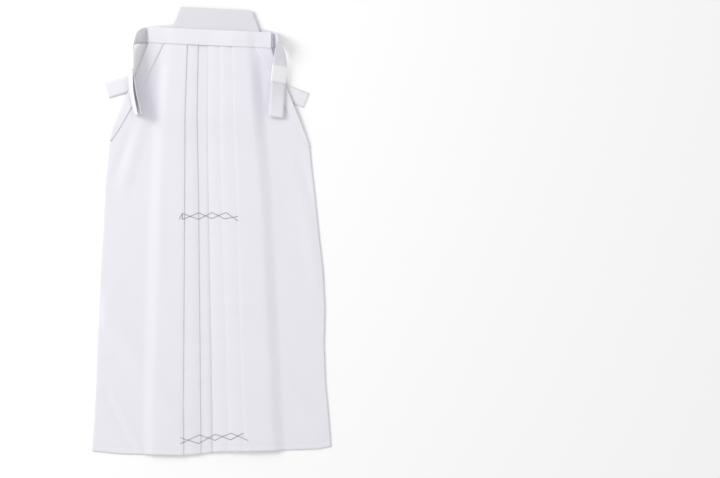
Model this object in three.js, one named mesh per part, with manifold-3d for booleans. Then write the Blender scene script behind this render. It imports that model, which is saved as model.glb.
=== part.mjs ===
// Divided hakama trousers laid flat, front side up. Millimetres, +Z up.
// The waist points to +Y, the hem to -Y, and the surface that the garment lies on is z = 0.
// The wearer's right is at -X, because the front faces up.
// Every cloth piece is a wall made from a grid of points on its middle surface.
import * as THREE from 'three';
import { mergeVertices } from 'three/addons/utils/BufferGeometryUtils.js';
import Module from 'manifold-3d';

const wasm = await Module();
wasm.setup();

// ---------- driving dimensions ----------
const CLOTH = 1.0;            // wall of a cloth panel
const GAP = 0.3;              // air between pieces at a seam or in a fold
const PITCH = CLOTH + GAP;    // one cloth layer on the next
const FOLD_RADIUS = PITCH / 2;
const LENGTH = 950;           // waist seam to hem
const WAIST_Y = 430.6;        // waist seam at x = 0
const WAIST_SLOPE = -0.0448;  // the waist lies a little askew
const SLIT_DROP = 232;        // foot of the side slits, below the waist seam
const CROTCH_DROP = 236;      // end of the centre back seam
const BAND_HEIGHT = 37;
const TUCK = 20;              // how far the panels reach up into the waistband
const STRAP_WIDTH = 36;
const BOARD_THICKNESS = 3;
const PAPER = 0.5;            // wall of a paper band

// ---------- heights of the layers over the surface ----------
const ONE_TIE = 2 * PITCH;    // a tie folded in two, and the air above it
const TIE_CROSSING = 6.0;     // both front ties where they cross, and the waist board
const FRONT_LAYER = 3;        // back panel, its turned edge, the gusset, then the front
const SIDE_AIR = 0.5;         // the free front edge stands this clear of the back beside the slits

// Outline of the front, and the folded edge of each side leaf, by the drop below the waist seam.
const FRONT = [
  { drop: 0, left: -146, right: 140, leafLeft: -111, leafRight: 102 },
  { drop: 40, left: -163, right: 153, leafLeft: -131, leafRight: 124 },
  { drop: 80, left: -180, right: 170, leafLeft: -151, leafRight: 144 },
  { drop: 120, left: -197, right: 187, leafLeft: -171, leafRight: 162 },
  { drop: 160, left: -213, right: 203, leafLeft: -192, leafRight: 184 },
  { drop: 200, left: -229, right: 218, leafLeft: -215, leafRight: 207 },
  { drop: 232, left: -238, right: 229, leafLeft: -233, leafRight: 224 },
  { drop: 270, left: -241, right: 232 },
  { drop: 340, left: -248, right: 240 },
  { drop: 430, left: -251, right: 249 },
  { drop: 530, left: -258, right: 260 },
  { drop: 620, left: -261, right: 264 },
  { drop: 700, left: -265, right: 262 },
  { drop: 790, left: -268, right: 265 },
  { drop: 870, left: -272, right: 272 },
  { drop: 950, left: -278, right: 278 },
];

// Free edges of the back above the foot of the slits. Below it the back follows the front.
const BACK = [
  { drop: 0, left: -107, right: 128 },
  { drop: 40, left: -127, right: 148 },
  { drop: 80, left: -147, right: 164 },
  { drop: 120, left: -170, right: 181 },
  { drop: 160, left: -193, right: 199 },
  { drop: 200, left: -215, right: 214 },
  { drop: 232, left: -238, right: 229 },
];

// The folded edges of the five front pleats, how deep they are folded, and the centre back.
const PLEATS = [
  { drop: 0, edge1: -56, edge2: -31, edge3: -7, edge4: 20, edge5: 49, depth: 30, back: 9 },
  { drop: 170, edge1: -62, edge2: -34, edge3: -9, edge4: 19, edge5: 51, depth: 42, back: 5 },
  { drop: 345, edge1: -63, edge2: -31, edge3: -7, edge4: 23, edge5: 58, depth: 50, back: 1 },
  { drop: 850, edge1: -66, edge2: -26, edge3: 2, edge4: 37, edge5: 71, depth: 62, back: -4 },
  { drop: 950, edge1: -65, edge2: -25, edge3: 3, edge4: 39, edge5: 77, depth: 62, back: -5 },
];

// The hem as it lies, which rises towards the viewer's right.
const HEM = [
  { x: -278, y: -512 }, { x: -211, y: -519 }, { x: -67, y: -522 }, { x: -30, y: -519 },
  { x: 19, y: -513 }, { x: 80, y: -513 }, { x: 200, y: -509 }, { x: 250, y: -507 }, { x: 278, y: -501 },
];

// Middle of the waistband's outer wall, over the pleats that it encloses.
const BAND_CROWN = [
  { x: -146, z: 14.5 }, { x: -112, z: 14.5 }, { x: -88, z: 17.3 }, { x: -56, z: 17.3 }, { x: -31, z: 16.4 },
  { x: 0, z: 16.4 }, { x: 20, z: 18.2 }, { x: 47, z: 19.9 }, { x: 82, z: 19.9 }, { x: 101, z: 15.0 },
  { x: 140, z: 14.5 },
];

// Broad soft folds on the front: a ridge from one point to another, its half width and height.
const SOFT_FOLDS = [
  { x: -258, drop: 610, toX: -85, toDrop: 865, reach: 48, height: 2.6 },
  { x: -170, drop: 130, toX: -205, toDrop: 300, reach: 26, height: 1.4 },
  { x: 215, drop: 330, toX: 245, toDrop: 560, reach: 30, height: 1.2 },
  { x: 150, drop: 760, toX: 255, toDrop: 905, reach: 40, height: 2.0 },
];

// Route of each back tie from the waist board to its folded ends: middle of the bundle, the
// bearing and the lean of its width in degrees, and half the distance between its two strands.
const BACK_TIE_RIGHT_ROUTE = [
  { x: 9.5, y: 461, z: 1.95, bearing: 90, lean: 0, half: 0.65 },
  { x: -12, y: 461.5, z: 1.95, bearing: 90, lean: 0, half: 0.65 },
  { x: -50, y: 462.5, z: 1.15, bearing: 90, lean: 0, half: 0.65 },
  { x: -90, y: 463, z: 1.15, bearing: 90, lean: 0, half: 0.65 },
  { x: -125, y: 461, z: 1.15, bearing: 91, lean: 0, half: 0.65 },
  { x: -148, y: 457, z: 1.15, bearing: 93, lean: 0, half: 0.65 },
  { x: -160, y: 454, z: 9, bearing: 96, lean: 22, half: 0.65 },
  { x: -169, y: 449, z: 16.5, bearing: 94, lean: 46, half: 0.65 },
  { x: -175, y: 442, z: 21.5, bearing: 82, lean: 66, half: 0.65 },
  { x: -180, y: 432, z: 24, bearing: 42, lean: 76, half: 0.65 },
  { x: -185, y: 415, z: 25.5, bearing: 2, lean: 66, half: 0.65 },
  { x: -186, y: 374, z: 26.5, bearing: 2, lean: 66, half: 0.65 },
  { x: -182, y: 330, z: 27.2, bearing: -4, lean: 68, half: 3.2 },
  { x: -173, y: 286, z: 26.8, bearing: -8, lean: 70, half: 4.4 },
  { x: -169, y: 270, z: 26.8, bearing: -8, lean: 70, half: 4.6 },
];
const BACK_TIE_LEFT_ROUTE = [
  { x: 12.5, y: 461, z: 1.95, bearing: 90, lean: 0, half: 0.65 },
  { x: 34, y: 460.5, z: 1.95, bearing: 90, lean: 0, half: 0.65 },
  { x: 66, y: 459, z: 1.15, bearing: 89, lean: 0, half: 0.65 },
  { x: 98, y: 456, z: 1.15, bearing: 88, lean: 0, half: 0.65 },
  { x: 124, y: 451, z: 1.15, bearing: 87, lean: 0, half: 0.65 },
  { x: 144, y: 446, z: 1.15, bearing: 86, lean: 0, half: 0.65 },
  { x: 150, y: 444, z: 9, bearing: 86, lean: 24, half: 0.65 },
  { x: 155, y: 442, z: 17, bearing: 92, lean: 52, half: 0.65 },
  { x: 158, y: 439, z: 21.5, bearing: 112, lean: 72, half: 0.65 },
  { x: 159.5, y: 432, z: 22.5, bearing: 150, lean: 72, half: 0.65 },
  { x: 160, y: 421, z: 22, bearing: 165, lean: 58, half: 0.65 },
  { x: 160, y: 404, z: 21, bearing: 169, lean: 44, half: 0.65 },
  { x: 159, y: 384, z: 20, bearing: 172, lean: 29, half: 0.65 },
  { x: 155.5, y: 344, z: 19.2, bearing: 172, lean: 29, half: 0.65 },
  { x: 152.5, y: 300, z: 14.5, bearing: 175, lean: 13, half: 1.2 },
  { x: 150, y: 264, z: 12.2, bearing: 173, lean: 7, half: 1.5 },
];

// ---------- small helpers ----------
const radians = (degrees) => (degrees * Math.PI) / 180;
const mix = (a, b, t) => a + (b - a) * t;

function smooth(from, to, value) {
  const t = Math.min(1, Math.max(0, (value - from) / (to - from)));
  return t * t * (3 - 2 * t);
}

// Value of a named column of a table, between its rows.
function column(table, key, name, value) {
  const rows = table.filter((row) => row[name] !== undefined);
  if (value <= rows[0][key]) return rows[0][name];
  for (let i = 1; i < rows.length; i++) {
    const low = rows[i - 1];
    const high = rows[i];
    if (value <= high[key]) return mix(low[name], high[name], (value - low[key]) / (high[key] - low[key]));
  }
  return rows[rows.length - 1][name];
}

const waistY = (x) => WAIST_Y + WAIST_SLOPE * x;

// Place on the surface of a point x, at a drop below the waist seam.
function place(x, drop, z) {
  const length = drop > 0 ? waistY(x) - column(HEM, 'x', 'y', x) : LENGTH;
  return new THREE.Vector3(x, waistY(x) - (drop * length) / LENGTH, z);
}

// How far the ties and the waist board under the garment hold it up.
function lift(x, drop) {
  const board = 1 - smooth(15, 70, drop);
  const crossing = 1 - smooth(60, 120, Math.abs(x + 8));
  const foot = 1 - smooth(150, SLIT_DROP + 4, drop);
  return mix(ONE_TIE, TIE_CROSSING, Math.max(board, crossing)) * foot;
}

// Middle of a cloth layer of the stack, counted from the back panel.
const layer = (x, drop, count) => lift(x, drop) + CLOTH / 2 + count * PITCH;

// Middle of the front panel's single layer out at its side: straight on the back panel, but
// level with the pleats' lowest layer at the waist seam.
const sideLayer = (x, drop) => layer(x, drop, mix(FRONT_LAYER, 1, smooth(0, 60, drop)))
  + SIDE_AIR * (1 - smooth(SLIT_DROP - 40, SLIT_DROP, drop));

// Height of the broad soft folds.
function swell(x, drop) {
  let height = 0;
  for (const fold of SOFT_FOLDS) {
    const dx = fold.toX - fold.x;
    const dd = fold.toDrop - fold.drop;
    const along = Math.min(1, Math.max(0, ((x - fold.x) * dx + (drop - fold.drop) * dd) / (dx * dx + dd * dd)));
    const away = Math.hypot(x - fold.x - along * dx, drop - fold.drop - along * dd);
    height += fold.height * (1 - smooth(0, fold.reach, away));
  }
  return height;
}

// ---------- meshes ----------
function geometryOf(points, triangles) {
  const geometry = new THREE.BufferGeometry();
  geometry.setAttribute('position', new THREE.Float32BufferAttribute(points.flatMap((p) => [p.x, p.y, p.z]), 3));
  geometry.setIndex(triangles);
  return geometry;
}

// Turns a closed mesh inside out if its volume is negative.
function facingOut(points, triangles) {
  let volume = 0;
  for (let i = 0; i < triangles.length; i += 3) {
    const [a, b, c] = [points[triangles[i]], points[triangles[i + 1]], points[triangles[i + 2]]];
    volume += a.dot(new THREE.Vector3().crossVectors(b, c));
  }
  if (volume > 0) return triangles;
  const turned = [];
  for (let i = 0; i < triangles.length; i += 3) turned.push(triangles[i], triangles[i + 2], triangles[i + 1]);
  return turned;
}

// A wall of even thickness on both sides of a grid of points. Folds run across the first
// index, where the two sides are mitred.
function wall(grid, thickness) {
  const rows = grid.length;
  const cols = grid[0].length;
  const points = [];
  const sides = [[], []];
  for (let i = 0; i < rows; i++) {
    for (let j = 0; j < cols; j++) {
      const alongFold = new THREE.Vector3()
        .subVectors(grid[i][Math.min(j + 1, cols - 1)], grid[i][Math.max(j - 1, 0)]);
      const before = grid[Math.max(i - 1, 0)][j];
      const after = grid[Math.min(i + 1, rows - 1)][j];
      const normals = [];
      if (i > 0) normals.push(new THREE.Vector3().subVectors(grid[i][j], before).cross(alongFold).normalize());
      if (i < rows - 1) normals.push(new THREE.Vector3().subVectors(after, grid[i][j]).cross(alongFold).normalize());
      const first = normals[0];
      const last = normals[normals.length - 1];
      const normal = new THREE.Vector3().addVectors(first, last).normalize();
      const reach = thickness / 2 / Math.max(0.7, normal.dot(first));
      for (const side of [0, 1]) {
        sides[side].push(points.length);
        points.push(grid[i][j].clone().addScaledVector(normal, side ? reach : -reach));
      }
    }
  }
  const at = (side, i, j) => sides[side][i * cols + j];
  const triangles = [];
  const quad = (a, b, c, d) => triangles.push(a, b, c, a, c, d);
  for (let i = 0; i < rows - 1; i++) {
    for (let j = 0; j < cols - 1; j++) {
      quad(at(1, i, j), at(1, i + 1, j), at(1, i + 1, j + 1), at(1, i, j + 1));
      quad(at(0, i, j), at(0, i, j + 1), at(0, i + 1, j + 1), at(0, i + 1, j));
    }
    quad(at(0, i, 0), at(0, i + 1, 0), at(1, i + 1, 0), at(1, i, 0));
    quad(at(0, i, cols - 1), at(1, i, cols - 1), at(1, i + 1, cols - 1), at(0, i + 1, cols - 1));
  }
  for (let j = 0; j < cols - 1; j++) {
    quad(at(0, 0, j), at(1, 0, j), at(1, 0, j + 1), at(0, 0, j + 1));
    quad(at(0, rows - 1, j), at(0, rows - 1, j + 1), at(1, rows - 1, j + 1), at(1, rows - 1, j));
  }
  return geometryOf(points, facingOut(points, triangles));
}

function solidOf(geometry) {
  const bare = geometry.clone();
  bare.deleteAttribute('normal');
  bare.deleteAttribute('uv');
  const merged = mergeVertices(bare, 1e-3);
  const vertProperties = new Float32Array(merged.attributes.position.array);
  const triVerts = new Uint32Array(merged.index.array);
  return new wasm.Manifold(new wasm.Mesh({ numProp: 3, vertProperties, triVerts }));
}

function joined(...geometries) {
  const mesh = geometries.map(solidOf).reduce((whole, next) => whole.add(next)).getMesh();
  const geometry = new THREE.BufferGeometry();
  geometry.setAttribute('position', new THREE.BufferAttribute(new Float32Array(mesh.vertProperties), 3));
  geometry.setIndex(new THREE.BufferAttribute(new Uint32Array(mesh.triVerts), 1));
  return geometry;
}

// A half-circle of section points that turns a layer back on itself. toward is +1 or -1 in x,
// and edge is the outermost point of the finished fold.
function turnPoints(edge, toward, low, high) {
  const radius = (high - low) / 2;
  const centre = edge - toward * (radius + CLOTH / 2);
  return [-90, -30, 30, 90].map((degrees) => ({
    x: centre + toward * radius * Math.cos(radians(degrees)),
    z: (low + high) / 2 + radius * Math.sin(radians(degrees)),
  }));
}

// ---------- front panels ----------
const DROPS = [-TUCK, ...FRONT.map((row) => row.drop)];
const SLOPE_RUN = 24;     // run over which the top layer comes down from the pleats
const FOLD_DROP = 1.5;    // clear run past the deepest hidden fold
const SEAM_SHIFT = 14;    // the centre seam hides this far under the third pleat

const frontColumn = (name, drop) => column(FRONT, 'drop', name, drop);
const pleatColumn = (name, drop) => column(PLEATS, 'drop', name, drop);

// How far the side leaf's hidden fold reaches outwards from its visible edge.
function leafDepth(side, drop) {
  const outer = frontColumn(side < 0 ? 'left' : 'right', drop);
  const edge = frontColumn(side < 0 ? 'leafLeft' : 'leafRight', drop);
  return Math.min(20, Math.max(3, 0.62 * Math.abs(outer - edge)));
}

// Where the single layer of the front ends: at the leaf's hidden fold, or at the side seam.
function frontEnd(side, drop) {
  if (drop >= SLIT_DROP) return frontColumn(side < 0 ? 'left' : 'right', drop);
  const edge = frontColumn(side < 0 ? 'leafLeft' : 'leafRight', drop);
  return edge + side * (leafDepth(side, drop) - FOLD_RADIUS);
}

// One section of a front panel, from the hidden centre seam out to the side.
function frontSection(side, edges, drop) {
  const seam = pleatColumn('edge3', drop) + SEAM_SHIFT + (side < 0 ? -GAP : GAP) / 2;
  const depth = pleatColumn('depth', drop);
  const height = (count) => layer(0, drop, FRONT_LAYER + count);
  const points = [{ x: seam, z: height(0) }];
  let count = 0;
  let hidden = 0;
  for (const name of edges) {
    const edge = pleatColumn(name, drop);
    hidden = edge + side * depth;
    points.push(...turnPoints(hidden, side, height(count), height(count + 1)));
    points.push(...turnPoints(edge, -side, height(count + 1), height(count + 2)));
    count += 2;
  }
  const end = frontEnd(side, drop);
  const top = hidden + side * FOLD_DROP;
  const foot = top + side * Math.min(SLOPE_RUN, Math.abs(end - top) * 0.8);
  points.push({ x: top, z: height(count) });
  points.push({ x: foot, z: sideLayer(foot, drop) });
  for (const share of [0.33, 0.62, 0.85, 1]) {
    const x = mix(foot, end, share);
    points.push({ x, z: sideLayer(x, drop) + swell(x, drop) * (1 - smooth(0.9, 1, share)) });
  }
  return points;
}

const sectionsToGrid = (drops, section) => {
  const sections = drops.map((drop) => section(drop).map((p) => place(p.x, drop, p.z)));
  return sections[0].map((_, i) => sections.map((points) => points[i]));
};

// The side leaf: the panel's edge folded under and out again, with its folded edge inwards.
const LEAF_DROPS = [-TUCK, 0, 40, 80, 120, 160, 200, 227];
const LEAF_OVERLAP = 1;
function leafSection(side, drop) {
  const edge = frontColumn(side < 0 ? 'leafLeft' : 'leafRight', drop);
  const outer = frontColumn(side < 0 ? 'left' : 'right', drop);
  const base = sideLayer(edge, drop);
  const end = frontEnd(side, drop);
  return [
    { x: end - side * LEAF_OVERLAP, z: sideLayer(end - side * LEAF_OVERLAP, drop) },
    ...turnPoints(end + side * (FOLD_RADIUS + CLOTH / 2), side, sideLayer(end, drop), base + PITCH),
    ...turnPoints(edge, -side, base + PITCH, base + 2 * PITCH),
    { x: outer, z: base + 2 * PITCH },
  ];
}

function frontPanel(side, edges) {
  const panel = wall(sectionsToGrid(DROPS, (drop) => frontSection(side, edges, drop)), CLOTH);
  const leaf = wall(sectionsToGrid(LEAF_DROPS, (drop) => leafSection(side, drop)), CLOTH);
  return joined(panel, leaf);
}

// ---------- back panels ----------
const BACK_TURN = 45;     // cloth turned inwards along the centre back

function backSection(side, drop) {
  const name = side < 0 ? 'left' : 'right';
  const outer = drop < SLIT_DROP ? column(BACK, 'drop', name, drop) : frontColumn(name, drop);
  const middle = pleatColumn('back', drop) + side * (GAP / 2);
  const foldStart = middle + side * (FOLD_RADIUS + CLOTH / 2);
  const points = [0, 0.22, 0.42, 0.62, 0.82].map((share) => {
    const x = mix(outer, foldStart, share);
    return { x, z: layer(x, drop, 0) };
  });
  points.push(...turnPoints(middle, -side, layer(middle, drop, 0), layer(middle, drop, 1)));
  const inner = middle + side * BACK_TURN;
  points.push({ x: inner, z: layer(inner, drop, 1) });
  return points;
}

const backPanel = (side) => {
  const drops = FRONT.map((row) => row.drop);
  return wall(sectionsToGrid(drops, (drop) => backSection(side, drop)), CLOTH);
};

// ---------- gusset: a slim wedge down the inside of each leg ----------
const GUSSET_END = 560;
const GUSSET_WIDTH = { top: 62, foot: 14 };

function gusset(side) {
  const drops = [CROTCH_DROP, 340, 450, GUSSET_END];
  return wall(sectionsToGrid(drops, (drop) => {
    const middle = pleatColumn('back', drop) + side * (GAP / 2);
    const share = (drop - CROTCH_DROP) / (GUSSET_END - CROTCH_DROP);
    const width = mix(GUSSET_WIDTH.top, GUSSET_WIDTH.foot, share);
    return [0, 1].map((end) => ({ x: middle + side * width * end, z: layer(middle, drop, 2) }));
  }), CLOTH);
}

// ---------- waistband: one strip folded over the top edge of the pleats ----------
const BAND_INNER = layer(0, 0, FRONT_LAYER) - PITCH;

function waistband() {
  const columns = BAND_CROWN.map(({ x, z }) => {
    const radius = (z - BAND_INNER) / 2;
    const points = [place(x, 0, BAND_INNER)];
    for (const degrees of [-90, -45, 0, 45, 90]) {
      const rise = BAND_HEIGHT - CLOTH / 2 - radius + radius * Math.cos(radians(degrees));
      points.push(place(x, -rise, BAND_INNER + radius + radius * Math.sin(radians(degrees))));
    }
    points.push(place(x, 0, z));
    return points;
  });
  return wall(columns[0].map((_, i) => columns.map((points) => points[i])), CLOTH);
}

// ---------- ties ----------
// A strap's station: its middle, and the direction of its width.
function station(x, y, z, bearing, lean) {
  const level = Math.cos(radians(lean));
  return {
    centre: new THREE.Vector3(x, y, z),
    across: new THREE.Vector3(
      level * Math.cos(radians(bearing)), level * Math.sin(radians(bearing)), Math.sin(radians(lean))),
  };
}

const strapGrid = (stations) => stations.map(({ centre, across }) => [-0.5, 0.5].map(
  (share) => centre.clone().addScaledVector(across, share * STRAP_WIDTH)));

// The front ties leave the ends of the waistband, fold behind it and cross the back. From its
// far end each tie comes back under itself.
const FRONT_TIES = {
  front_tie_left: {
    side: 1, creaseX: 140, creaseY: 442.5, creaseBearing: 90, bearing: 106.8, tipX: -244.5, tipY: 326.5,
    start: 3.1, run: 1.8, end: 1.8, rampFrom: 72, rampTo: 96, dropFrom: 100, dropTo: 101, backTo: 84,
  },
  front_tie_right: {
    side: -1, creaseX: -146, creaseY: 455.5, creaseBearing: 90, bearing: 67.6, tipX: 220, tipY: 304,
    start: 4.4, run: 4.4, end: 1.8, rampFrom: 100, rampTo: 101, dropFrom: 205, dropTo: 262, backTo: 126,
  },
};

function frontTie({ side, creaseX, creaseY, creaseBearing, bearing, tipX, tipY, start, run, end, ...ramp }) {
  const stations = [];
  const wrap = (BAND_INNER - start) / 2;
  for (const degrees of [90, 45, 0, -45, -90]) {
    const out = side * (GAP + wrap * Math.cos(radians(degrees)));
    stations.push(station(creaseX + out, creaseY, start + wrap + wrap * Math.sin(radians(degrees)),
      creaseBearing, 0));
  }
  const length = Math.hypot(tipX - creaseX, tipY - creaseY);
  const along = (distance, z) => station(mix(creaseX, tipX, distance / length),
    mix(creaseY, tipY, distance / length), z, bearing, 0);
  const height = (distance) => mix(mix(start, run, smooth(ramp.rampFrom, ramp.rampTo, distance)), end,
    smooth(ramp.dropFrom, ramp.dropTo, distance));
  const marks = [24, ramp.rampFrom, ramp.rampTo, ramp.dropFrom, (ramp.dropFrom + ramp.dropTo) / 2, ramp.dropTo]
    .filter((mark, i, all) => i === 0 || mark - all[i - 1] > 5);
  for (const mark of marks) stations.push(along(mark, height(mark)));
  const tip = length - FOLD_RADIUS - CLOTH / 2;
  for (const degrees of [90, 30, -30, -90]) {
    stations.push(along(tip + FOLD_RADIUS * Math.cos(radians(degrees)),
      end - FOLD_RADIUS + FOLD_RADIUS * Math.sin(radians(degrees))));
  }
  for (const mark of [...marks].reverse().filter((value) => value > ramp.backTo)) {
    stations.push(along(mark, height(mark) - PITCH));
  }
  stations.push(along(ramp.backTo, height(ramp.backTo) - PITCH));
  return wall(strapGrid(stations), CLOTH);
}

// Frames along a back tie: middle, width, and the direction from one strand to the other.
function routeFrames(route) {
  const frames = route.map((row) => ({ ...station(row.x, row.y, row.z, row.bearing, row.lean), half: row.half }));
  return frames.map((frame, i) => {
    const ahead = frames[Math.min(i + 1, frames.length - 1)].centre;
    const behind = frames[Math.max(i - 1, 0)].centre;
    const forward = new THREE.Vector3().subVectors(ahead, behind).normalize();
    return { ...frame, forward, up: new THREE.Vector3().crossVectors(forward, frame.across).normalize() };
  });
}

// A back tie is a hairpin: out along one strand and, from the waist board, along the other.
function backTie(route) {
  const frames = routeFrames(route);
  const strand = (sign) => frames.map(({ centre, across, up, half }) => ({
    centre: centre.clone().addScaledVector(up, sign * half), across,
  }));
  const first = frames[0];
  const bend = [-30, 30].map((degrees) => ({
    centre: first.centre.clone()
      .addScaledVector(first.forward, -first.half * Math.cos(radians(degrees)))
      .addScaledVector(first.up, first.half * Math.sin(radians(degrees))),
    across: first.across,
  }));
  return wall(strapGrid([...strand(-1).reverse(), ...bend, ...strand(1)]), CLOTH);
}

// ---------- paper bands round the ties ----------
// A flat ring: an outer and an inner loop of four corners, carried along a few frames.
function paperBand(frames) {
  const corners = [[1, 1], [-1, 1], [-1, -1], [1, -1]];
  const loop = ({ centre, across, up, half }, grow) => corners.map(([sx, sy]) => centre.clone()
    .addScaledVector(across, sx * (STRAP_WIDTH / 2 + GAP + grow))
    .addScaledVector(up, sy * (half + CLOTH / 2 + GAP + grow)));
  const points = [];
  const index = frames.map((frame) => [PAPER, 0].map((grow) => loop(frame, grow).map((point) => {
    points.push(point);
    return points.length - 1;
  })));
  const triangles = [];
  const quad = (a, b, c, d) => triangles.push(a, b, c, a, c, d);
  const last = frames.length - 1;
  for (let k = 0; k < corners.length; k++) {
    const next = (k + 1) % corners.length;
    for (let i = 0; i < last; i++) {
      quad(index[i][0][k], index[i][0][next], index[i + 1][0][next], index[i + 1][0][k]);
      quad(index[i][1][k], index[i + 1][1][k], index[i + 1][1][next], index[i][1][next]);
    }
    quad(index[0][0][k], index[0][1][k], index[0][1][next], index[0][0][next]);
    quad(index[last][0][k], index[last][0][next], index[last][1][next], index[last][1][k]);
  }
  return geometryOf(points, facingOut(points, triangles));
}

// ---------- waist board at the back ----------
const BOARD_TOP = { leftX: -72, leftY: 522, rightX: 94, rightY: 513 };
const BOARD_EDGE = 0.8;

function waistBoard() {
  const left = BACK[0].left + 3;
  const right = BACK[0].right - 2;
  const inset = (x) => (x < 0 ? x + BOARD_EDGE : x - BOARD_EDGE);
  const shape = new THREE.Shape([
    new THREE.Vector2(inset(left), waistY(left) + GAP + BOARD_EDGE),
    new THREE.Vector2(inset(right), waistY(right) + GAP + BOARD_EDGE),
    new THREE.Vector2(inset(BOARD_TOP.rightX), BOARD_TOP.rightY - BOARD_EDGE),
    new THREE.Vector2(inset(BOARD_TOP.leftX), BOARD_TOP.leftY - BOARD_EDGE),
  ]);
  const geometry = new THREE.ExtrudeGeometry(shape, {
    depth: BOARD_THICKNESS - 2 * BOARD_EDGE, bevelThickness: BOARD_EDGE, bevelSize: BOARD_EDGE, bevelSegments: 2,
  });
  return geometry.translate(0, 0, BAND_INNER - CLOTH / 2 - GAP - BOARD_THICKNESS + BOARD_EDGE);
}

// ---------- the garment ----------
const cloth = (shade) => new THREE.MeshStandardMaterial({ color: shade, roughness: 0.85, metalness: 0 });
const paper = () => new THREE.MeshStandardMaterial({ color: '#fbfbfd', roughness: 0.7, metalness: 0 });
const hakama = new THREE.Group();

function piece(name, geometry, material) {
  const mesh = new THREE.Mesh(geometry, material);
  mesh.name = name;
  hakama.add(mesh);
}

piece('front_right', frontPanel(-1, ['edge2', 'edge1']), cloth('#ecebf0'));
piece('front_left', frontPanel(1, ['edge3', 'edge4', 'edge5']), cloth('#ecebf0'));
piece('back_right', backPanel(-1), cloth('#e4e3e8'));
piece('back_left', backPanel(1), cloth('#e4e3e8'));
piece('gusset_right', gusset(-1), cloth('#dddce2'));
piece('gusset_left', gusset(1), cloth('#dddce2'));
piece('waistband', waistband(), cloth('#efeef3'));
piece('waist_board', waistBoard(), cloth('#e0dfe4'));
for (const [name, tie] of Object.entries(FRONT_TIES)) piece(name, frontTie(tie), cloth('#e8e7ec'));
piece('back_tie_right', backTie(BACK_TIE_RIGHT_ROUTE), cloth('#f0eff4'));
piece('back_tie_left', backTie(BACK_TIE_LEFT_ROUTE), cloth('#f0eff4'));
piece('paper_band_right', paperBand(routeFrames(BACK_TIE_RIGHT_ROUTE).slice(10, 12)), paper());
piece('paper_band_left', paperBand(routeFrames(BACK_TIE_LEFT_ROUTE).slice(12, 14)), paper());
piece('paper_band_back', paperBand(routeFrames([
  { ...BACK_TIE_RIGHT_ROUTE[1], x: -9 }, { ...BACK_TIE_LEFT_ROUTE[1], x: 32 },
])), paper());

// The origin is on the surface, under the middle of the garment's box.
const box = new THREE.Box3().setFromObject(hakama);
hakama.position.set(-(box.min.x + box.max.x) / 2, -(box.min.y + box.max.y) / 2, -box.min.z);

export default hakama;
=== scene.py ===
# %% [markdown]
# # Divided hakama trousers, laid flat
# The garment lies front side up on a pale surface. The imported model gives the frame: its box, its
# nodes and their places. Each cloth piece is drawn again here as a thin shell on its solid's form.

# %% Load the frame
import math
import bpy
import numpy as np
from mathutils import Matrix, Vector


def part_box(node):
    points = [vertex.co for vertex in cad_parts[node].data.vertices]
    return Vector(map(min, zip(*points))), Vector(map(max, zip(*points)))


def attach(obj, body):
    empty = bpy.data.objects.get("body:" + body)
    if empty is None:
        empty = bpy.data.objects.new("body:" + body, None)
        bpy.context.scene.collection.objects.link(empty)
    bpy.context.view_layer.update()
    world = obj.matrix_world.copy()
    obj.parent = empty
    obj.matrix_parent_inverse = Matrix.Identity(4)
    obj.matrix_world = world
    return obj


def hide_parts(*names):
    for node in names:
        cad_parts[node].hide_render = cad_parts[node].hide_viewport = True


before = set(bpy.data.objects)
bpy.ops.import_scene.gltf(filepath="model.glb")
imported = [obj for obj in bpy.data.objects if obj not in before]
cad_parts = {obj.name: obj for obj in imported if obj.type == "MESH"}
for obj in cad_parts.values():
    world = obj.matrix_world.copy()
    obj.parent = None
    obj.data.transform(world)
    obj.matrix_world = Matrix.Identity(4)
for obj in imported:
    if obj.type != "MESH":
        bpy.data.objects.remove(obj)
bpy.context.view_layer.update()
MM = 0.001
print("nodes:", sorted(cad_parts))

# %% [markdown]
# The pieces follow a few driving sizes and short tables, all in millimetres. `drop` is the distance
# below the waist seam. The wearer's right is at -X.

# %% Sizes and tables
CLOTH = 0.6            # thickness of the drawn cloth
PITCH = 0.95           # one folded layer on the next
SOLID_PITCH = 1.3      # one layer on the next in the solid model
SOLID_CLOTH = 1.0
GAP = 0.3
LENGTH, TUCK, BAND_HEIGHT, STRAP_WIDTH = 950.0, 20.0, 37.0, 36.0
WAIST_Y, WAIST_SLOPE = 430.6, -0.0448
SLIT_DROP, CROTCH_DROP = 232.0, 236.0
ONE_TIE, TIE_CROSSING, FRONT_LAYER, SIDE_AIR = 2.6, 6.0, 3, 0.5
BAND_INNER = TIE_CROSSING + SOLID_CLOTH / 2 + (FRONT_LAYER - 1) * SOLID_PITCH

FRONT = {
    "drop": [0, 40, 80, 120, 160, 200, 232, 270, 340, 430, 530, 620, 700, 790, 870, 950],
    "left": [-146, -163, -180, -197, -213, -229, -238, -241,
             -248, -251, -258, -261, -265, -268, -272, -278],
    "right": [140, 153, 170, 187, 203, 218, 229, 232,
              240, 249, 260, 264, 262, 265, 272, 278],
}
LEAF = {
    "drop": [0, 40, 80, 120, 160, 200, 232],
    "left": [-111, -131, -151, -171, -192, -215, -236],
    "right": [102, 124, 144, 162, 184, 207, 227],
}
BACK = {
    "drop": [0, 40, 80, 120, 160, 200, 232],
    "left": [-107, -127, -147, -170, -193, -215, -238],
    "right": [128, 148, 164, 181, 199, 214, 229],
}
PLEATS = {
    "drop": [0, 170, 345, 850, 950],
    "edge1": [-56, -62, -63, -66, -65],
    "edge2": [-31, -34, -31, -26, -25],
    "edge3": [-7, -9, -7, 2, 3],
    "edge4": [20, 19, 23, 37, 39],
    "edge5": [49, 51, 58, 71, 77],
    "depth": [30, 42, 50, 62, 62],
    "back": [9, 5, 1, -4, -5],
}
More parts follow.
